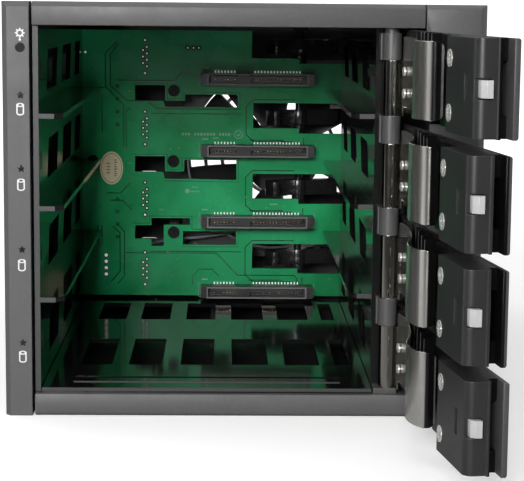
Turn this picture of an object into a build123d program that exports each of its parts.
"""Four-bay trayless hot-swap drive enclosure for three stacked 5.25-inch slots.

Millimetres. Row frame: +Z up, +Y runs from the bezel towards the rear panel,
+X to the right as seen from the front; the origin is the centre of the
underside of the case.

All places are given in the bezel frame instead: x from the bezel's left edge,
y back from its front face, z up from the underside. place() and the sketch
planes move them to the row frame. Doors are dimensioned closed in the same
way and built on a plane that is turned open about the hinge.
"""

from build123d import *

import os
from math import cos, hypot, pi, radians, sin

os.makedirs("parts", exist_ok=True)

# ---------------------------------------------------------- shared dimensions
WIDTH = 146.3  # bezel
HEIGHT = 127.0
BEZEL = 8.0  # bezel depth
DEPTH = 201.2  # bezel face to rear panel
TONGUE = 9.0  # bezel tongues reach this far into the case

CASE_X0, CASE_X1 = 0.6, 145.7  # outside of the tray
SHEET = 1.2
FIT = 0.1  # gap between the tray and the folded edges inside it
TRAY_TOP = 124.2
CASE_TOP = 125.5
COVER_UNDER = CASE_TOP - SHEET
FOLD_TOP = 114.5  # lower edge of the cover folds
SIDES = ((CASE_X0, 1), (CASE_X1, -1))  # outer face, direction into the case
FOLD_X = (CASE_X0 + SHEET + FIT, CASE_X1 - 2 * SHEET - FIT)  # left face of each fold

OPEN_X0, OPEN_X1 = 9.1, 127.4  # door opening
OPEN_Z0, OPEN_Z1 = 6.9, 119.9

BAYS = 4
PITCH = 28.25
FLOOR_1 = 93.2  # top of the highest shelf
FLOORS = [FLOOR_1 - PITCH * k for k in range(BAYS)]
BAY_MID = 13.5  # latch height above the bay floor

BOARD_Y, BOARD_T = 161.5, 1.6
BOARD_BACK = BOARD_Y + BOARD_T
STANDOFFS = ((46.9, 92.0), (46.7, 64.1), (46.9, 35.5), (14.7, 63.9))  # x, z
STANDOFF_HOLE_R = 1.6

DATA_X, DATA_DZ = 35.4, 12.1  # data port centre, height above the bay floor
POWER_X, POWER_Z = 24.5, (86.0, 41.0)  # power port centres
PORT_BACK = 200.6

FAN_X, FAN_Z, FAN, FAN_T = 90.0, 63.0, 80.0, 20.0
FAN_Y0 = DEPTH - SHEET - FAN_T
FAN_Y1 = FAN_Y0 + FAN_T
FAN_BORE_R = 38.2
FAN_HOLE_PITCH = 71.5

SCREW_HOLE_R = 1.5
COVER_SCREW_Y, COVER_SCREW_Z = (28.0, 100.0, 176.0), 119.6
REAR_SCREW_Y, REAR_SCREW_Z = 194.5, (22.0, 104.0)
# (y, z) of the countersunk screws on each side
SIDE_SCREWS = [(y, COVER_SCREW_Z) for y in COVER_SCREW_Y] + [
    (REAR_SCREW_Y, z) for z in REAR_SCREW_Z
]


# --------------------------------------------------------------------- helpers
def place(x, y, z=0.0):
    """A point of the bezel frame in the row frame."""
    return (x - WIDTH / 2, y - DEPTH / 2, z)


def door_slab(left, right, front, back, bottom, top, mode=Mode.ADD):
    """A block in the coordinates of the builder's own workplane."""
    with Locations(((left + right) / 2, (front + back) / 2, (bottom + top) / 2)):
        Box(abs(right - left), abs(back - front), abs(top - bottom), mode=mode)


def slab(left, right, front, back, bottom, top, mode=Mode.ADD):
    """A block in the bezel frame; each pair of ends may come in either order."""
    with Locations(place((left + right) / 2, (front + back) / 2, (bottom + top) / 2)):
        Box(abs(right - left), abs(back - front), abs(top - bottom), mode=mode)


def rod_x(y, z, left, right, radius, mode=Mode.ADD):
    """A cylinder along X."""
    with Locations(Location(place((left + right) / 2, y, z), (0, 90, 0))):
        Cylinder(radius, abs(right - left), mode=mode)


def rod_y(x, z, front, back, radius, mode=Mode.ADD):
    """A cylinder along Y."""
    with Locations(Location(place(x, (front + back) / 2, z), (90, 0, 0))):
        Cylinder(radius, abs(back - front), mode=mode)


def rod_z(x, y, bottom, top, radius, mode=Mode.ADD):
    """A cylinder along Z."""
    with Locations(place(x, y, (bottom + top) / 2)):
        Cylinder(radius, top - bottom, mode=mode)


def cut_cross_y(x, z, front, back, arm, half_width):
    """A cross recess in the head of a screw along Y."""
    for wide, tall in ((arm, half_width), (half_width, arm)):
        slab(x - wide, x + wide, front, back, z - tall, z + tall, Mode.SUBTRACT)


def front_plane(y):
    """Sketch plane in bezel x and z, its normal towards the front."""
    return Plane(origin=place(0, y), x_dir=(1, 0, 0), z_dir=(0, -1, 0))


def plan_plane(z):
    """Sketch plane in bezel x and y, its normal up."""
    return Plane(origin=place(0, 0, z), x_dir=(1, 0, 0), z_dir=(0, 0, 1))


def side_plane(x):
    """Sketch plane in bezel y and z, its normal to the right."""
    return Plane(origin=place(x, 0), x_dir=(0, 1, 0), z_dir=(1, 0, 0))


def front_edges(builder, level):
    """Foremost edges of the lowest (0) or highest (-1) edges."""
    return builder.edges().group_by(Axis.Z)[level].group_by(Axis.Y)[0]


def save(builder, name):
    builder.part.label = name
    export_step(builder.part, f"parts/{name}.step")


# ------------------------------------------------------------- sheet-metal case
SLOT_PITCH = 41.4
SIDE_HOLE_Z = [9.9 + SLOT_PITCH * slot + rise for slot in range(3) for rise in (0.0, 11.9)]
SIDE_HOLE_Y = (BEZEL + 47.4, BEZEL + 47.4 + 79.25)
VENT_Y = 176.0
VENT_COUNT, VENT_PITCH = 13, 8.0


def base_tray():
    with BuildPart() as tray:
        with BuildSketch(front_plane(BEZEL)):
            with BuildLine():
                Polyline(
                    (CASE_X0, TRAY_TOP),
                    (CASE_X0, 0),
                    (CASE_X1, 0),
                    (CASE_X1, TRAY_TOP),
                    (CASE_X1 - SHEET, TRAY_TOP),
                    (CASE_X1 - SHEET, SHEET),
                    (CASE_X0 + SHEET, SHEET),
                    (CASE_X0 + SHEET, TRAY_TOP),
                    close=True,
                )
            make_face()
        extrude(amount=-(DEPTH - BEZEL))
        fillet(tray.edges().filter_by(Axis.Y).group_by(Axis.Z)[0], radius=0.9)
        # standard side mounting holes, three slots of four on each side
        for outer, inward in SIDES:
            middle = outer + inward * SHEET / 2
            for z in SIDE_HOLE_Z:
                for y in SIDE_HOLE_Y:
                    rod_x(y, z, middle - 1, middle + 1, SCREW_HOLE_R, Mode.SUBTRACT)
        # countersunk holes for the cover and rear panel screws
        for outer, inward in SIDES:
            for y, z in SIDE_SCREWS:
                centre = place(outer + inward * SHEET / 2, y, z)
                with Locations(Location(centre, (0, 90 * inward, 0))):
                    Cone(2.75, 1.6, SHEET, mode=Mode.SUBTRACT)
    save(tray, "base_tray")


def top_cover():
    with BuildPart() as cover:
        slab(CASE_X0, CASE_X1, BEZEL, DEPTH, COVER_UNDER, CASE_TOP)
        for x in FOLD_X:
            slab(x, x + SHEET, BEZEL + 12, DEPTH - 12, FOLD_TOP, COVER_UNDER)
        fillet(cover.edges().filter_by(Axis.Y).group_by(Axis.Z)[-1], radius=0.7)
        for y in COVER_SCREW_Y:
            rod_x(y, COVER_SCREW_Z, 0, WIDTH, SCREW_HOLE_R, Mode.SUBTRACT)
        # one row of cooling slots near the rear, each long from front to back
        with BuildSketch(plan_plane(COVER_UNDER)):
            with Locations((WIDTH / 2, VENT_Y)):
                with GridLocations(VENT_PITCH, 0.0, VENT_COUNT, 1):
                    SlotOverall(22.0, 3.2, rotation=90)
        extrude(amount=SHEET, mode=Mode.SUBTRACT)
    save(cover, "top_cover")


def rear_panel():
    bottom = SHEET + FIT
    with BuildPart() as panel:
        with BuildSketch(front_plane(DEPTH)):
            with Locations((WIDTH / 2, (bottom + TRAY_TOP) / 2)):
                Rectangle(CASE_X1 - CASE_X0 - 2 * (SHEET + FIT), TRAY_TOP - bottom)
            with Locations(*[(DATA_X, floor + DATA_DZ) for floor in FLOORS]):
                RectangleRounded(6.0, 14.4, 0.5, mode=Mode.SUBTRACT)
            with Locations(*[(POWER_X, z) for z in POWER_Z]):
                RectangleRounded(9.4, 22.4, 0.5, mode=Mode.SUBTRACT)
            with Locations((FAN_X, FAN_Z)):
                Circle(FAN_BORE_R, mode=Mode.SUBTRACT)
                with GridLocations(FAN_HOLE_PITCH, FAN_HOLE_PITCH, 2, 2):
                    Circle(2.2, mode=Mode.SUBTRACT)
            with Locations(*STANDOFFS):
                Circle(STANDOFF_HOLE_R, mode=Mode.SUBTRACT)
        extrude(amount=SHEET)
        # side folds
        for x in FOLD_X:
            slab(x, x + SHEET, DEPTH - 11.5, DEPTH - SHEET, 6.0, 113.5)
        for z in REAR_SCREW_Z:
            rod_x(REAR_SCREW_Y, z, 0, WIDTH, SCREW_HOLE_R, Mode.SUBTRACT)
    save(panel, "rear_panel")


# ------------------------------------------------------------------- the bezel
ICON_X = 5.6  # column of indicators
LENS_Z = 113.2  # round lens
STAR_Z = (98.9, 76.6, 51.8, 22.9)  # star-shaped lenses
LENS_R, PIPE_R = 1.4, 0.92
LENS_GAP = 0.06
COLUMN_TONGUE_Z = (5, 118)
COLUMN_BACK_X0 = 127.8  # left edge of the right column at its two ends
COLUMN_X0 = 129.2  # and between them
CAP_Z = 118.2  # where the upper end starts


def star_points(z, outer, inner):
    """Corners of a five-pointed star on the bezel face."""
    radii = (outer, inner)
    return [
        (ICON_X + radii[i % 2] * sin(pi * i / 5), z + radii[i % 2] * cos(pi * i / 5))
        for i in range(10)
    ]


def bezel_left_column():
    right, corner = 8.3, 1.6
    with BuildPart() as column:
        with BuildSketch(plan_plane(0)):
            with BuildLine():
                Polyline(
                    (0, BEZEL), (0, corner), (corner, 0), (right, 0), (right, BEZEL),
                    close=True,
                )
            make_face()
        extrude(amount=HEIGHT)
        chamfer(front_edges(column, -1), length=corner)
        slab(2.2, 4.2, BEZEL, BEZEL + TONGUE, *COLUMN_TONGUE_Z)
        rod_y(ICON_X, LENS_Z, -1, BEZEL + 1, LENS_R + LENS_GAP, Mode.SUBTRACT)
        for z in STAR_Z:
            rod_y(ICON_X, z, 0.4, BEZEL + 1, PIPE_R + LENS_GAP, Mode.SUBTRACT)
            with BuildSketch(front_plane(0)):
                with BuildLine():
                    Polyline(*star_points(z, 1.32, 0.64), close=True)
                make_face()
            extrude(amount=-0.5, mode=Mode.SUBTRACT)
    save(column, "bezel_left_column")


def bezel_bar(name, bottom, top, level, bevel, tongue_z):
    """A bar across the opening; level is the chamfered side, -1 top or 0 bottom."""
    with BuildPart() as bar:
        slab(OPEN_X0, OPEN_X1, 0, BEZEL, bottom, top)
        chamfer(front_edges(bar, level), length=bevel)
        slab(OPEN_X0 + 3, OPEN_X1 - 3, BEZEL, BEZEL + TONGUE, *tongue_z)
    save(bar, name)


def bezel_right_column():
    with BuildPart() as column:
        with BuildSketch(front_plane(BEZEL)):
            with BuildLine():
                Polyline(
                    (COLUMN_BACK_X0, 0),
                    (WIDTH, 0),
                    (WIDTH, HEIGHT),
                    (COLUMN_BACK_X0, HEIGHT),
                    (COLUMN_BACK_X0, CAP_Z),
                    (COLUMN_X0, CAP_Z),
                    (COLUMN_X0, HEIGHT - CAP_Z),
                    (COLUMN_BACK_X0, HEIGHT - CAP_Z),
                    close=True,
                )
            make_face()
        extrude(amount=BEZEL)
        right_edges = column.edges().filter_by(Axis.Z).group_by(Axis.X)[-1]
        chamfer(right_edges.group_by(Axis.Y)[0], length=1.9)
        chamfer(front_edges(column, -1), length=1.4)
        slab(136.0, 138.0, BEZEL, BEZEL + TONGUE, *COLUMN_TONGUE_Z)
        # relief behind the upper lip for the corner of the swinging door
        slab(127.7, COLUMN_X0, 1.2, BEZEL + 1, CAP_Z - 0.1, OPEN_Z1, Mode.SUBTRACT)
    save(column, "bezel_right_column")


# ------------------------------------------------------------- inner drive cage
WALL_L0, WALL_L1 = 9.1, 10.8  # left inner wall
WALL_R0, WALL_R1 = 113.5, 115.3  # right inner wall
WALL_Z = (7.1, 119.7)
CAGE_Y0, CAGE_Y1 = 2.0, BOARD_Y - 0.3
RAIL_T = 1.5
RAIL_L_EDGE, RAIL_R_EDGE = 18.0, 106.5
LEAD_X, LEAD_Y = 2.5, 3.0  # lead-in at the front of a rail
WINDOWS_L = ((26.0, 62.0), (76.0, 112.0), (124.0, 150.0))  # front, back
WINDOWS_R = ((30.0, 64.0), (78.0, 112.0), (124.0, 150.0))
WINDOW_DZ = 6.0  # lower edge above the bay floor
LINK_X0, LINK_X1 = 121.5, 123.3  # ejector push rod
LINK_DZ0, LINK_DZ1 = 19.6, 22.6  # above the bay floor
LINK_GAP = 0.15
# solid bands and ribs of the cage floor, (start, end) along Y and X
FLOOR_BANDS = ((CAGE_Y0, 36.0), (79.0, 116.0), (150.0, CAGE_Y1))
FLOOR_RIBS = (
    (11.0, 20.0), (30.5, 36.0), (47.0, 53.0), (64.0, 70.0),
    (82.0, 87.5), (99.0, 104.0), (109.0, 113.3),
)


def rail_outline(wall, edge, lead, front):
    """Plan of a rail from wall to edge; lead is the shift of its front corner."""
    back = CAGE_Y1 - 3
    return [
        (wall, front), (edge + lead, front), (edge, front + LEAD_Y), (edge, back), (wall, back)
    ]


def window_outline(front, back, bottom, top, slant):
    """A parallelogram-like window leaning back towards the top."""
    return [(front, bottom), (back - slant, bottom), (back, top), (front + slant, top)]


def gaps(spans):
    """The gaps between neighbouring spans."""
    return [(end, start) for (_, end), (start, _) in zip(spans, spans[1:])]


def cage_left_wall():
    with BuildPart() as wall:
        slab(WALL_L0, WALL_L1, CAGE_Y0, CAGE_Y1, *WALL_Z)
        for floor in FLOORS[:-1]:
            with BuildSketch(plan_plane(floor - RAIL_T)):
                with BuildLine():
                    outline = rail_outline(WALL_L1, RAIL_L_EDGE, -LEAD_X, CAGE_Y0)
                    Polyline(*outline, close=True)
                make_face()
            extrude(amount=RAIL_T)
        for floor in FLOORS:
            middle = floor + BAY_MID
            # latch strike behind a front lip
            slab(
                WALL_L0 - 1, WALL_L1 + 1, 5.9, 9.7, middle - 2.6, middle + 2.6,
                Mode.SUBTRACT,
            )
            # lightening windows between the rails
            with BuildSketch(side_plane(WALL_L0 - 1)):
                for front, back in WINDOWS_L:
                    with BuildLine():
                        outline = window_outline(
                            front, back, floor + WINDOW_DZ, floor + 18.5, slant=5.0
                        )
                        Polyline(*outline, close=True)
                    make_face()
            extrude(amount=4.0, mode=Mode.SUBTRACT)
    save(wall, "cage_left_wall")


def cage_right_wall():
    with BuildPart() as wall:
        slab(WALL_R0, WALL_R1, 11.2, CAGE_Y1, *WALL_Z)
        for floor in FLOORS[:-1]:
            with BuildSketch(plan_plane(floor - RAIL_T)):
                with BuildLine():
                    outline = rail_outline(WALL_R0, RAIL_R_EDGE, LEAD_X, 12.0)
                    Polyline(*outline, close=True)
                make_face()
            extrude(amount=RAIL_T)
        for floor in FLOORS:
            with BuildSketch(side_plane(WALL_R0 - 1)):
                for front, back in WINDOWS_R:
                    with BuildLine():
                        outline = window_outline(
                            front, back, floor + WINDOW_DZ, floor + 17.5, slant=6.0
                        )
                        Polyline(*outline, close=True)
                    make_face()
            extrude(amount=4.0, mode=Mode.SUBTRACT)
            # guides that carry the ejector push rod
            for y in (40.0, 118.0):
                slab(WALL_R1 - 0.2, 125.0, y, y + 4.0, floor + 18.4, floor + 23.8)
                slab(
                    LINK_X0 - LINK_GAP, LINK_X1 + LINK_GAP, y - 1, y + 5.0,
                    floor + LINK_DZ0 - LINK_GAP, floor + LINK_DZ1 + LINK_GAP,
                    Mode.SUBTRACT,
                )
    save(wall, "cage_right_wall")


def cage_floor():
    top = FLOORS[-1]
    underside = OPEN_Z0 + 0.05
    foot = 4.0
    with BuildPart() as grid:
        slab(FLOOR_RIBS[0][0], FLOOR_RIBS[-1][1], CAGE_Y0, CAGE_Y1, underside, top)
        for front, back in gaps(FLOOR_BANDS):
            for left, right in gaps(FLOOR_RIBS):
                slab(left, right, front, back, underside - 1, top + 1, Mode.SUBTRACT)
        # shallow grooves across the front band
        for y in (9.0, 16.0):
            slab(20.0, 104.0, y, y + 2.2, top - 0.7, top + 1, Mode.SUBTRACT)
        # feet down to the tray
        for x in (15.0, 62.0, 106.0):
            for y in (20.0, 97.0, 153.0):
                slab(x, x + foot, y, y + foot, SHEET + 0.02, underside)
    save(grid, "cage_floor")


# ------------------------------------------------------------------- the hinge
HINGE_X, HINGE_Y = 118.0, 5.4
KNUCKLE_R, PIN_R = 3.0, 1.9
TOP_KNUCKLE_Z = 118.3  # upper end of the highest knuckle
# each bay has a leaf barrel from its floor up, then a fixed knuckle
KNUCKLE_BASES = [110.2] + [floor + 19.85 for floor in FLOORS[1:]]
KNUCKLE_TOPS = [TOP_KNUCKLE_Z] + [floor + PITCH for floor in FLOORS[1:]]


def hinge_knuckles():
    with BuildPart() as knuckles:
        slab(113.5, 116.8, 9.0, 11.2, OPEN_Z0 + 0.2, OPEN_Z1 - 0.2)
        for bottom, top in zip(KNUCKLE_BASES, KNUCKLE_TOPS):
            rod_z(HINGE_X, HINGE_Y, bottom, top, KNUCKLE_R)
            slab(114.6, 118.0, 6.0, 9.2, bottom, top)
        rod_z(HINGE_X, HINGE_Y, TOP_KNUCKLE_Z, OPEN_Z1, 2.3)
        slab(113.9, 121.0, 2.5, 9.2, OPEN_Z0, FLOORS[-1])
        rod_z(HINGE_X, HINGE_Y, OPEN_Z0 - 1, OPEN_Z1 + 1, PIN_R, Mode.SUBTRACT)
    save(knuckles, "hinge_knuckles")


def hinge_pin():
    with BuildPart() as pin:
        rod_z(HINGE_X, HINGE_Y, OPEN_Z0 + 0.1, OPEN_Z1 - 0.1, PIN_R)
        chamfer(pin.edges().filter_by(GeomType.CIRCLE), length=0.3)
    save(pin, "hinge_pin")


# ------------------------------------------------------------------- the doors
OPEN_DEG = (98.3, 97.6, 97.6, 98.1)  # how far each door stands open
DOOR_X0, DOOR_X1 = 9.1, 127.0
DOOR_LOW, DOOR_HIGH, DOOR_HIGH_1 = 1.3, 25.7, 26.15  # above the bay floor
PLATE_T = 1.7
BODY_Y0, BODY_Y1 = 4.2, 10.75  # inner moulding
BLOCK_DZ = 1.45  # underside of the latch block above the bay floor
BOLT_Y0, BOLT_Y1 = 6.6, 9.5
BOLT_MID_Y = (BOLT_Y0 + BOLT_Y1) / 2
BOLT_RISE = 0.25  # bolt above the bay's middle
SCREW_X, SCREW_DZ = 34.8, 7.0  # door screws, above and below the middle
HEAD_SEAT = 1.2  # depth of a screw seat
RIVET_X, RIVET_DZ = 110.2, (7.2, 13.8)  # rivets, above the bay floor
RIVET_HOLE_R = 0.85

RIB_TOPS = (7.4, 6.1, 4.8, 3.4, 2.7)  # y the stiffening ribs reach
RIB_X, RIB_PITCH, RIB_T = 65.3, 8.75, 0.8

# centre line (x, y) of the hold-down leaf, from the hinge to the turned-down tip
LEAF_LINE = [
    (113.0, 2.95), (107.0, 2.8), (101.0, 3.2), (96.0, 3.95),
    (88.0, 5.55), (81.0, 7.25), (74.0, 9.7), (69.0, 11.4),
    (64.5, 12.05), (60.5, 11.85), (57.5, 11.2), (55.4, 10.4),
    (54.5, 9.75), (54.15, 9.0), (54.1, 8.2), (54.1, 6.9),
]
LEAF_T = 0.4
LEAF_DZ, LEAF_H = 3.0, 21.1  # underside above the bay floor, height
TIP_R = 2.1  # rounded corners of the tip
BARREL_R, BARREL_BORE = 2.5, 1.96
BARREL_GAP = 0.2


class Door:
    """Heights of one door and its plane, in closed-door coordinates but turned open."""

    def __init__(self, index):
        floor = FLOORS[index]
        self.index = index
        self.floor = floor
        self.low = floor + DOOR_LOW
        self.high = floor + (DOOR_HIGH_1 if index == 0 else DOOR_HIGH)
        self.middle = floor + BAY_MID
        self.bolt_z = self.middle + BOLT_RISE
        self.screw_z = (self.middle - SCREW_DZ, self.middle + SCREW_DZ)
        self.rivet_z = [floor + rise for rise in RIVET_DZ]
        turn = radians(OPEN_DEG[index])
        axes = {"x_dir": (cos(turn), sin(turn), 0), "z_dir": (0, 0, 1)}
        hinge = Plane(origin=place(HINGE_X, HINGE_Y), **axes)
        corner = hinge.from_local_coords((-HINGE_X, -HINGE_Y, 0))
        self.plane = Plane(origin=corner, **axes)

    def point(self, x, y, z):
        return self.plane.from_local_coords((x, y, z))

    def inner_plane(self, x, y, z):
        """Plane with its normal to the door's inner side and x to the free end."""
        return Plane(
            origin=self.point(x, y, z), x_dir=-self.plane.x_dir, z_dir=self.plane.y_dir
        )

    def save(self, builder, name):
        save(builder, f"door_{self.index + 1}_{name}")


def offset_line(points, distance):
    """The polyline's points moved sideways by distance."""
    moved = []
    for i, (x, y) in enumerate(points):
        x_before, y_before = points[max(i - 1, 0)]
        x_after, y_after = points[min(i + 1, len(points) - 1)]
        run, rise = x_after - x_before, y_after - y_before
        length = hypot(run, rise)
        moved.append((x - rise / length * distance, y + run / length * distance))
    return moved


def door_front_plate(door):
    with BuildPart(door.plane) as plate:
        door_slab(DOOR_X0, DOOR_X1, 0.0, PLATE_T, door.low, door.high)
        faces = plate.faces().sort_by(Axis(door.plane.origin, door.plane.y_dir))
        chamfer(faces[0].edges(), length=0.45)
    door.save(plate, "front_plate")


def door_body(door):
    low, high, middle, bolt_z = door.low, door.high, door.middle, door.bolt_z
    with BuildPart(door.plane) as body:
        # block that carries the latch, its corner rounded towards the drive
        with BuildSketch(door.plane.offset(door.floor + BLOCK_DZ)):
            with BuildLine():
                Polyline(
                    (13.75, BODY_Y1),
                    (37.6, BODY_Y1),
                    (37.9, 10.4),
                    (37.9, 6.2),
                    (59.0, 6.2),
                    (62.0, BODY_Y0),
                    (11.2, BODY_Y0),
                    (11.2, 8.2),
                )
                ThreePointArc((11.2, 8.2), (11.95, 10.0), (13.75, BODY_Y1))
            make_face()
        extrude(amount=high - door.floor - BLOCK_DZ)
        # flange over the full door height, and the layer on the front plate
        door_slab(10.9, 62.0, BODY_Y0, 5.0, low, high)
        door_slab(30.5, 62.0, PLATE_T, BODY_Y0, low, high)
        door_slab(61.5, 113.0, PLATE_T, 2.3, low, high)
        # pads below and above the finger scoop
        for bottom, top in ((low, low + 5.7), (high - 5.7, high)):
            door_slab(14.5, 31.0, PLATE_T, BODY_Y0 + 0.1, bottom, top)
        # stiffening ribs between the front layer and the leaf
        for i, rib_top in enumerate(RIB_TOPS):
            x = RIB_X + RIB_PITCH * i
            door_slab(x - RIB_T / 2, x + RIB_T / 2, 2.2, rib_top, low, high)
        # latch channel, its end notch, scoop for the finger pull, groove on the inner face
        # (left, right, front, back, centre z, half height)
        channel_y0 = BOLT_Y0 - 0.12
        for left, right, front, back, z, half in (
            (10.0, 34.6, channel_y0, BOLT_Y1 + 0.12, bolt_z, 2.35),
            (10.0, 13.0, channel_y0, 12.0, bolt_z, 2.6),
            (23.2, 29.9, PLATE_T, BOLT_Y0 + 1, middle, 4.2),
            (18.4, 21.2, 9.0, 12.0, bolt_z, 3.4),
        ):
            door_slab(left, right, front, back, z - half, z + half, Mode.SUBTRACT)
        # screw seats and bores, then rivet holes
        for z in door.screw_z:
            for radius, depth in ((2.45, HEAD_SEAT), (1.3, 8.0)):
                with BuildSketch(door.inner_plane(SCREW_X, BODY_Y1, z)):
                    Circle(radius)
                extrude(amount=-depth, mode=Mode.SUBTRACT)
        for z in door.rivet_z:
            with BuildSketch(door.inner_plane(RIVET_X, 2.4, z)):
                Circle(RIVET_HOLE_R)
            extrude(amount=-0.7, mode=Mode.SUBTRACT)
        # relief around the fixed knuckles and the hinge axis
        with BuildSketch(door.plane.offset(door.floor)):
            with Locations((HINGE_X, HINGE_Y)):
                Circle(4.2)
        extrude(amount=PITCH, mode=Mode.SUBTRACT)
    door.save(body, "body")


def door_spring_leaf(door):
    inner = offset_line(LEAF_LINE, LEAF_T / 2)
    outer = offset_line(LEAF_LINE, -LEAF_T / 2)
    leaf_z = door.floor + LEAF_DZ
    barrel_z = door.floor + BARREL_GAP
    barrel_top = KNUCKLE_BASES[door.index] - BARREL_GAP
    with BuildPart(door.plane) as leaf:
        with BuildSketch(door.plane.offset(leaf_z)):
            with BuildLine():
                Spline(*inner)
                Line(inner[-1], outer[-1])
                Spline(*reversed(outer))
                Line(outer[0], inner[0])
            make_face()
        extrude(amount=LEAF_H)
        # rounded corners on the turned-down tip, lower then upper
        for level, side in ((leaf_z, 1), (leaf_z + LEAF_H, -1)):
            tip = Plane(
                origin=door.point(53.2, 6.8, level),
                x_dir=door.plane.y_dir,
                z_dir=door.plane.x_dir,
            )
            with BuildSketch(tip):
                with Locations((1.0, side * 1.0)):
                    Rectangle(2.2, 2.2)
                with Locations((TIP_R, side * TIP_R)):
                    Circle(TIP_R, mode=Mode.SUBTRACT)
            extrude(amount=1.6, mode=Mode.SUBTRACT)
        # barrel around the pin, with the strip that joins it to the leaf
        with BuildSketch(door.plane.offset(barrel_z)):
            with BuildLine():
                Polyline(
                    (112.6, 2.74), (HINGE_X, 2.9), (HINGE_X, 3.3), (112.6, 3.14), close=True
                )
            make_face()
            with Locations((HINGE_X, HINGE_Y)):
                Circle(BARREL_R)
                Circle(BARREL_BORE, mode=Mode.SUBTRACT)
        extrude(amount=barrel_top - barrel_z)
        for z in door.rivet_z:
            with BuildSketch(door.inner_plane(RIVET_X, 4.0, z)):
                Circle(RIVET_HOLE_R)
            extrude(amount=-2.0, mode=Mode.SUBTRACT)
    door.save(leaf, "spring_leaf")


def door_fasteners(door):
    seat_y = BODY_Y1 - HEAD_SEAT
    with BuildPart(door.plane) as fasteners:
        for z in door.screw_z:
            # shank, then head
            for radius, length in ((1.25, -6.6), (2.3, 1.35)):
                with BuildSketch(door.inner_plane(SCREW_X, seat_y, z)):
                    Circle(radius)
                extrude(amount=length)
            with BuildSketch(door.inner_plane(SCREW_X, BODY_Y1 + 0.2, z)):
                Rectangle(2.6, 0.6)
                Rectangle(0.6, 2.6)
            extrude(amount=-1.0, mode=Mode.SUBTRACT)
        for z in door.rivet_z:
            # rivet stem, then its head
            for y, radius, length in ((PLATE_T + 0.02, 0.8, 1.5), (3.2, 1.4, 0.55)):
                with BuildSketch(door.inner_plane(RIVET_X, y, z)):
                    Circle(radius)
                extrude(amount=length)
    door.save(fasteners, "fasteners")


def door_latch_bolt(door):
    middle, bolt_z = door.middle, door.bolt_z
    ramp_y = BOLT_Y1 + 0.1
    with BuildPart(door.plane) as bolt:
        door_slab(9.9, 27.0, BOLT_Y0, BOLT_Y1, bolt_z - 2.2, bolt_z + 2.2)
        # finger pull inside the scoop
        door_slab(23.6, 26.4, 2.1, BOLT_Y0 + 0.2, middle - 4.0, middle + 4.0)
        # blind bore that swallows the spring as the bolt draws back
        bore = Plane(origin=door.point(24.2, BOLT_MID_Y, bolt_z), z_dir=door.plane.x_dir)
        with BuildSketch(bore):
            Circle(1.12)
        extrude(amount=4.0, mode=Mode.SUBTRACT)
        # ramp that lets the closing door push the bolt back
        with BuildSketch(door.plane.offset(middle - 3)):
            with BuildLine():
                Polyline((9.0, ramp_y), (11.0, ramp_y), (9.8, 8.0), (9.0, 8.0), close=True)
            make_face()
        extrude(amount=6, mode=Mode.SUBTRACT)
    door.save(bolt, "latch_bolt")


def door_latch_spring(door):
    with BuildPart() as spring:
        with BuildLine() as coil:
            Helix(
                pitch=1.5,
                height=6.8,
                radius=0.85,
                center=door.point(27.3, BOLT_MID_Y, door.bolt_z),
                direction=door.plane.x_dir,
            )
        with BuildSketch(Plane(origin=coil.line @ 0, z_dir=coil.line % 0)):
            Circle(0.17)
        sweep(path=coil.line)
    door.save(spring, "latch_spring")


# ---------------------------------------------------------------- the ejectors
LEVER_X, LEVER_Y = 97.0, 170.0  # lever pivot
LEVER_REST = radians(16.0)
LINK_ARM = 14.6  # pivot to link pin


def ejector_lever(number, floor):
    pivot = Plane(
        origin=place(LEVER_X, LEVER_Y, floor + 13.3),
        x_dir=(cos(LEVER_REST), sin(LEVER_REST), 0),
        z_dir=(0, 0, 1),
    )
    with BuildPart(pivot) as lever:
        with BuildSketch(pivot):
            Circle(3.4)
            # arm, then the finger that points forward from its left end
            for outline in (
                [(-13.4, -2.2), (15.8, -2.4), (15.8, 2.4), (0, 3.2), (-13.4, 2.0)],
                [(-13.4, 2.0), (-14.0, -1.0), (-13.0, -8.0), (-10.6, -8.0), (-9.6, -2.0)],
            ):
                with BuildLine():
                    Polyline(*outline, close=True)
                make_face()
            with Locations((14.2, 0)):
                SlotOverall(5.6, 2.9, mode=Mode.SUBTRACT)
            Circle(1.56, mode=Mode.SUBTRACT)
        extrude(amount=6.0)
    save(lever, f"ejector_{number}_lever")


def ejector_link(number, floor):
    pin_x = LEVER_X + LINK_ARM * cos(LEVER_REST)
    pin_y = LEVER_Y + LINK_ARM * sin(LEVER_REST)
    bottom, top = floor + LINK_DZ0, floor + LINK_DZ1
    back = pin_y + 1.4
    with BuildPart() as link:
        # push rod, button at its front, arm to the pin at its back
        slab(LINK_X0, LINK_X1, 17.0, back, bottom, top)
        slab(LINK_X0, 126.0, 16.0, 17.6, floor + 15.0, top)
        slab(pin_x - 1.6, LINK_X1, pin_y - 1.5, back, bottom, top)
        rod_z(pin_x, pin_y, floor + 13.6, floor + 19.8, 1.2)
    save(link, f"ejector_{number}_link")


def ejector_posts():
    with BuildPart() as posts:
        for floor in FLOORS:
            # brackets below and above each lever
            for bottom, top in ((8.0, 9.8), (22.7, 24.4)):
                slab(94.0, 100.0, BOARD_BACK, 172.5, floor + bottom, floor + top)
            # pivot post and its shoulder
            for top, radius in ((22.8, 1.5), (13.1, 2.6)):
                rod_z(LEVER_X, LEVER_Y, floor + 9.7, floor + top, radius)
    save(posts, "ejector_posts")


# ---------------------------------------------------------------- the backplane
# corners (x, z)
BOARD_OUTLINE = [
    (9.3, 9.7), (114.6, 9.7), (114.6, 102.9), (96.5, 102.9),
    (96.5, 105.0), (77.7, 105.0), (77.7, 115.7), (9.3, 115.7),
]
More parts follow.
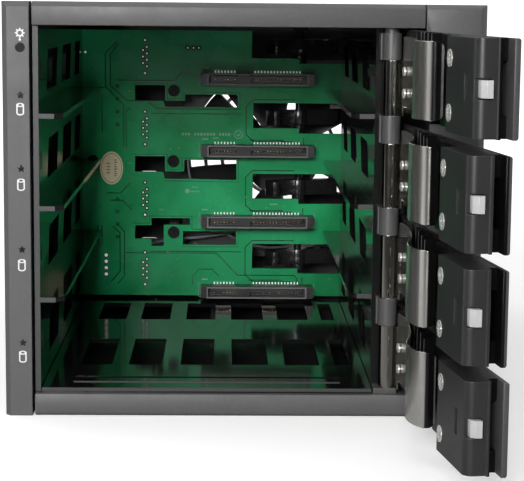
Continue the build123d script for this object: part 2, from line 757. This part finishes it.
# cooling windows, corners (x, z)
BOARD_WINDOWS = [
    # first row
    [
        (31.5, 94.1), (43.4, 94.1), (43.4, 88.0), (51.3, 88.0), (51.3, 90.5),
        (72.3, 90.5), (72.3, 85.5), (43.4, 85.5), (42.6, 87.9), (31.5, 87.9),
    ],
    # second row, with a taller right block
    [
        (31.5, 65.8), (43.4, 65.8), (43.4, 59.8), (51.0, 59.8), (51.0, 64.4),
        (71.8, 64.4), (71.8, 56.5), (43.4, 56.9), (42.6, 59.6), (31.5, 59.6),
    ],
    # third row, in two pieces
    [
        (31.4, 38.1), (38.0, 38.1), (38.0, 41.0), (53.4, 41.0), (53.4, 38.3),
        (42.9, 38.3), (42.9, 29.7), (38.0, 29.7), (38.0, 32.5), (31.4, 32.5),
    ],
    [(50.6, 35.8), (71.9, 35.8), (71.9, 30.3), (50.6, 30.3)],
]
SOCKET_X0, SOCKET_X1, SOCKET_DZ = 58.0, 102.4, 3.7
# board parts lying along Y: x, z, radius, length
BOARD_CYLINDERS = (
    (25.0, 106.5, 4.0, 9.0),
    (25.0, 64.0, 3.2, 8.0),
    (48.0, 107.0, 4.0, 9.0),
    (48.0, 18.0, 4.0, 9.0),
)
HEADER_Z, HEADER_PITCH = 18.1, 2.54  # lowest pin of the four-pin header


def side_window(top):
    """Stepped window open to the board's right edge."""
    return [
        (78.4, top), (115.0, top), (115.0, top - 12.0),
        (96.7, top - 12.0), (96.7, top - 10.0), (78.4, top - 10.0),
    ]


def backplane_board():
    with BuildPart() as board:
        with BuildSketch(front_plane(BOARD_BACK)):
            with BuildLine():
                Polyline(*BOARD_OUTLINE, close=True)
            make_face()
            for outline in [side_window(floor - 5.9) for floor in FLOORS[:-1]] + BOARD_WINDOWS:
                with BuildLine():
                    Polyline(*outline, close=True)
                make_face(mode=Mode.SUBTRACT)
            with Locations(*STANDOFFS):
                Circle(STANDOFF_HOLE_R, mode=Mode.SUBTRACT)
        extrude(amount=BOARD_T)
    save(board, "backplane_board")


def drive_sockets():
    half, post = 2.25, 2.6
    # pieces ahead of the base: left, right, bottom, top (z from the socket centre)
    front_pieces = (
        (SOCKET_X0, SOCKET_X0 + post, -half, half),  # end posts
        (SOCKET_X1 - post, SOCKET_X1, -half, half),
        (SOCKET_X0 + post, SOCKET_X1 - post, -half, -1.35),  # lower lip
        (SOCKET_X0 + 4.2, 72.0, 0.2, 1.4),  # the two tongues
        (77.4, SOCKET_X1 - 4.2, 0.2, 1.4),
        (72.0, 77.4, -1.4, half),  # block between them
    )
    with BuildPart() as sockets:
        for floor in FLOORS:
            z = floor + SOCKET_DZ
            slab(SOCKET_X0, SOCKET_X1, BOARD_Y - 5.0, BOARD_Y, z - half, z + half)
            for left, right, bottom, top in front_pieces:
                slab(left, right, BOARD_Y - 8.0, BOARD_Y - 4.9, z + bottom, z + top)
    save(sockets, "drive_sockets")


def data_ports():
    with BuildPart() as ports:
        for floor in FLOORS:
            z = floor + DATA_DZ
            # a shroud from the board to the rear panel, its tongue set back inside
            slab(DATA_X - 2.8, DATA_X + 2.8, BOARD_BACK, PORT_BACK, z - 7.0, z + 7.0)
            slab(DATA_X - 1.8, DATA_X + 1.8, 190.0, 202.0, z - 5.6, z + 5.6, Mode.SUBTRACT)
            slab(DATA_X - 0.6, DATA_X + 0.6, 189.9, 197.4, z - 4.2, z + 4.2)
    save(ports, "data_ports")


def power_ports():
    with BuildPart() as ports:
        for z in POWER_Z:
            slab(POWER_X - 4.5, POWER_X + 4.5, BOARD_BACK, PORT_BACK, z - 11.0, z + 11.0)
            slab(
                POWER_X - 3.3, POWER_X + 3.3, 188.0, 202.0, z - 9.8, z + 9.8, Mode.SUBTRACT
            )
            for rise in (-7.6, -2.5, 2.5, 7.6):
                rod_y(POWER_X, z + rise, 187.9, 194.9, 0.95)
    save(ports, "power_ports")


def board_components():
    with BuildPart() as components:
        for x, z, radius, length in BOARD_CYLINDERS:
            rod_y(x, z, BOARD_BACK, BOARD_BACK + length, radius)
        # round part with a small recess in its rear face
        rod_y(60.0, 107.5, BOARD_BACK, 170.6, 6.0)
        rod_y(60.0, 107.5, 170.0, 172.0, 1.0, Mode.SUBTRACT)
        # four-pin header: base, upright on its right and pins
        slab(17.0, 22.6, BOARD_BACK, 164.4, 16.9, 27.3)
        slab(21.4, 22.6, 164.4, 170.5, 16.9, 27.3)
        for i in range(4):
            z = HEADER_Z + HEADER_PITCH * i
            slab(19.3, 19.9, 164.3, 170.0, z - 0.3, z + 0.3)
        # block where the indicator cable ends
        slab(11.5, 16.0, BOARD_BACK, 169.0, 98.0, 110.0)
    save(components, "board_components")


def board_standoffs():
    with BuildPart() as standoffs:
        for x, z in STANDOFFS:
            rod_y(x, z, BOARD_BACK, DEPTH - SHEET, 2.6)
            rod_y(x, z, BOARD_Y, DEPTH, 1.25, Mode.SUBTRACT)
    save(standoffs, "board_standoffs")


# ------------------------------------------------------------ front indicators
# plan (x, y) of the ribbon between the indicator board and the backplane
RIBBON = [
    (5.2, 21.7), (6.0, 21.7), (6.0, 170.2), (13.4, 170.2),
    (13.4, 169.1), (14.2, 169.1), (14.2, 171.0), (5.2, 171.0),
]


def status_lenses():
    with BuildPart() as lenses:
        rod_y(ICON_X, LENS_Z, 0.1, 10.0, LENS_R)
        for z in STAR_Z:
            with BuildSketch(front_plane(0.5)):
                with BuildLine():
                    Polyline(*star_points(z, 1.2, 0.56), close=True)
                make_face()
            extrude(amount=0.5)
            rod_y(ICON_X, z, 0.4, 10.0, PIPE_R)
    save(lenses, "status_lenses")


def indicator_board():
    front, back = 17.4, 18.6
    with BuildPart() as board:
        slab(2.6, 8.6, front, back, 14.0, 118.0)
        for z in (LENS_Z, *STAR_Z):
            slab(ICON_X - 1.0, ICON_X + 1.0, 10.2, front, z - 1.0, z + 1.0)
        slab(3.0, 8.2, back, 21.6, 98.0, 108.0)
    save(board, "indicator_board")


def indicator_cable():
    with BuildPart() as cable:
        with BuildSketch(plan_plane(99.0)):
            with BuildLine():
                Polyline(*RIBBON, close=True)
            make_face()
        extrude(amount=8.0)
    save(cable, "indicator_cable")


# --------------------------------------------------------------------- the fan
FLANGE_T = 3.5
BLADES = 7
# blade sections: distance from the axis, chord, pitch angle in degrees
BLADE_SECTIONS = ((14.0, 13.5, 48.0), (26.0, 23.0, 32.0), (39.0, 31.0, 24.0))
GUARD_Y = DEPTH + 1.0
WIRE_R = 0.8
# places along the cable, x, y, z
FAN_CABLE = (
    (124.0, 178.4, 30.0), (98.0, 176.6, 34.8), (66.0, 175.0, 33.4), (46.0, 174.6, 30.9),
    (35.4, 174.5, 29.3), (27.5, 173.8, 27.2), (20.2, 171.6, 22.6),
)


def fan_frame():
    with BuildPart() as frame:
        with BuildSketch(front_plane(FAN_Y1)):
            with Locations((FAN_X, FAN_Z)):
                RectangleRounded(FAN, FAN, 4.0)
                Circle(FAN_BORE_R, mode=Mode.SUBTRACT)
                with GridLocations(FAN_HOLE_PITCH, FAN_HOLE_PITCH, 2, 2):
                    Circle(2.15, mode=Mode.SUBTRACT)
        extrude(amount=FAN_T)
        # the middle of each corner column is open
        with BuildSketch(front_plane(FAN_Y1 - FLANGE_T)):
            with Locations((FAN_X, FAN_Z)):
                Rectangle(FAN + 2, FAN + 2)
                RectangleRounded(FAN - 6.5, FAN - 6.5, 14.0, mode=Mode.SUBTRACT)
                Circle(39.7, mode=Mode.SUBTRACT)
        extrude(amount=FAN_T - 2 * FLANGE_T, mode=Mode.SUBTRACT)
        # motor mount on four struts
        with BuildSketch(front_plane(FAN_Y1)):
            with Locations((FAN_X, FAN_Z)):
                Circle(15.0)
                with PolarLocations(26.5, 4, start_angle=38):
                    Rectangle(25.0, 3.0)
        extrude(amount=2.2)
        rod_y(FAN_X, FAN_Z, FAN_Y0 + 6, FAN_Y1 - 2.0, 1.5)
    save(frame, "fan_frame")


def fan_rotor():
    with BuildPart() as rotor:
        # hub cup open to the rear, with a boss bored for the shaft
        rod_y(FAN_X, FAN_Z, FAN_Y0 + 2.0, FAN_Y1 - 2.6, 14.5)
        rod_y(FAN_X, FAN_Z, FAN_Y0 + 5.0, FAN_Y1, 13.2, Mode.SUBTRACT)
        rod_y(FAN_X, FAN_Z, FAN_Y0 + 4.0, FAN_Y1 - 4.0, 3.0)
        rod_y(FAN_X, FAN_Z, FAN_Y0 + 5.9, FAN_Y1, 1.56, Mode.SUBTRACT)
        for i in range(BLADES):
            angle = 2 * pi * i / BLADES
            outward = Vector(cos(angle), 0, sin(angle))
            around = Vector(-sin(angle), 0, cos(angle))
            sections = []
            for radius, chord, pitch in BLADE_SECTIONS:
                lead = around * cos(radians(pitch)) + Vector(0, 1, 0) * sin(radians(pitch))
                centre = Vector(*place(FAN_X, FAN_Y0 + 9.0, FAN_Z)) + outward * radius
                with BuildSketch(Plane(origin=centre, x_dir=lead, z_dir=outward)) as section:
                    with BuildLine():
                        ThreePointArc((-chord / 2, 0.0), (0, 1.5), (chord / 2, 0.0))
                        ThreePointArc((chord / 2, 0.0), (0, 0.3), (-chord / 2, 0.0))
                    make_face()
                sections.append(section.sketch)
            loft(sections=sections)
        # trim the blade tips to a round swept outline
        rod_y(FAN_X, FAN_Z, FAN_Y0, FAN_Y1, 37.5, Mode.INTERSECT)
    save(rotor, "fan_rotor")


def fan_guard():
    spoke_y = GUARD_Y - 0.1
    corner = FAN_HOLE_PITCH / 2
    with BuildPart() as guard:
        for radius in (10.0, 17.0, 24.0, 31.0, 38.0):
            with Locations(Location(place(FAN_X, GUARD_Y + 1.0, FAN_Z), (90, 0, 0))):
                Torus(radius, WIRE_R)
        # diagonal spokes, each ending in an eye around a fan screw
        for side, rise in ((-1, -1), (1, 1), (-1, 1), (1, -1)):
            start, finish = [
                Vector(*place(FAN_X + side * reach, spoke_y, FAN_Z + rise * reach))
                for reach in (6.5, 33.4)
            ]
            with BuildSketch(Plane(origin=start, z_dir=finish - start)):
                Circle(WIRE_R)
            extrude(amount=(finish - start).length)
            eye = place(FAN_X + side * corner, spoke_y, FAN_Z + rise * corner)
            with Locations(Location(eye, (90, 0, 0))):
                Torus(3.2, WIRE_R)
    save(guard, "fan_guard")


def fan_cable():
    with BuildPart() as cable:
        with BuildLine() as path:
            Spline(*[place(*point) for point in FAN_CABLE])
        with BuildSketch(Plane(origin=path.line @ 0, z_dir=path.line % 0)):
            Circle(0.75)
        sweep(path=path.line)
    save(cable, "fan_cable")


# ------------------------------------------------------------------- fasteners
def case_screws():
    with BuildPart() as screws:
        # flat-head screws through the tray into the cover and the rear panel
        for outer, inward in SIDES:
            for y, z in SIDE_SCREWS:
                middle = outer + inward * SHEET / 2
                with Locations(Location(place(middle, y, z), (0, 90 * inward, 0))):
                    Cone(2.7, 1.45, SHEET)
                rod_x(y, z, outer + inward * 1.1, outer + inward * 4.2, 1.42)
                for deep, tall in ((1.3, 0.3), (0.3, 1.3)):
                    slab(
                        outer - inward * 0.1, middle, y - deep, y + deep,
                        z - tall, z + tall, Mode.SUBTRACT,
                    )
        # pan-head screws: backplane from the front, standoffs from the rear
        for x, z in STANDOFFS:
            for seat, end, outward in ((BOARD_Y, 169.0, -1), (DEPTH, 194.0, 1)):
                rod_y(x, z, seat, end, 1.22)
                rod_y(x, z, seat, seat + outward * 1.7, 2.3)
                cut_cross_y(x, z, seat + outward * 0.8, seat + outward * 2.5, 1.4, 0.3)
        # fan screws hold the guard
        corner = FAN_HOLE_PITCH / 2
        for x in (FAN_X - corner, FAN_X + corner):
            for z in (FAN_Z - corner, FAN_Z + corner):
                rod_y(x, z, DEPTH - 12.0, DEPTH + 2.0, 2.05)
                rod_y(x, z, DEPTH + 1.75, DEPTH + 3.8, 3.9)
                cut_cross_y(x, z, DEPTH + 2.9, DEPTH + 4.0, 1.9, 0.4)
    save(screws, "case_screws")


# ------------------------------------------------------------- build every piece
base_tray()
top_cover()
rear_panel()

bezel_left_column()
bezel_bar("bezel_top_bar", OPEN_Z1, HEIGHT, level=-1, bevel=1.4, tongue_z=(121.6, 123.6))
bezel_bar("bezel_bottom_bar", 0, OPEN_Z0, level=0, bevel=0.8, tongue_z=(1.4, 3.4))
bezel_right_column()

cage_left_wall()
cage_right_wall()
cage_floor()

hinge_knuckles()
hinge_pin()
for bay in range(BAYS):
    bay_door = Door(bay)
    door_front_plate(bay_door)
    door_body(bay_door)
    door_spring_leaf(bay_door)
    door_fasteners(bay_door)
    door_latch_bolt(bay_door)
    door_latch_spring(bay_door)

for bay, bay_floor in enumerate(FLOORS, start=1):
    ejector_lever(bay, bay_floor)
    ejector_link(bay, bay_floor)
ejector_posts()

backplane_board()
drive_sockets()
data_ports()
power_ports()
board_components()
board_standoffs()

status_lenses()
indicator_board()
indicator_cable()

fan_frame()
fan_rotor()
fan_guard()
fan_cable()
case_screws()
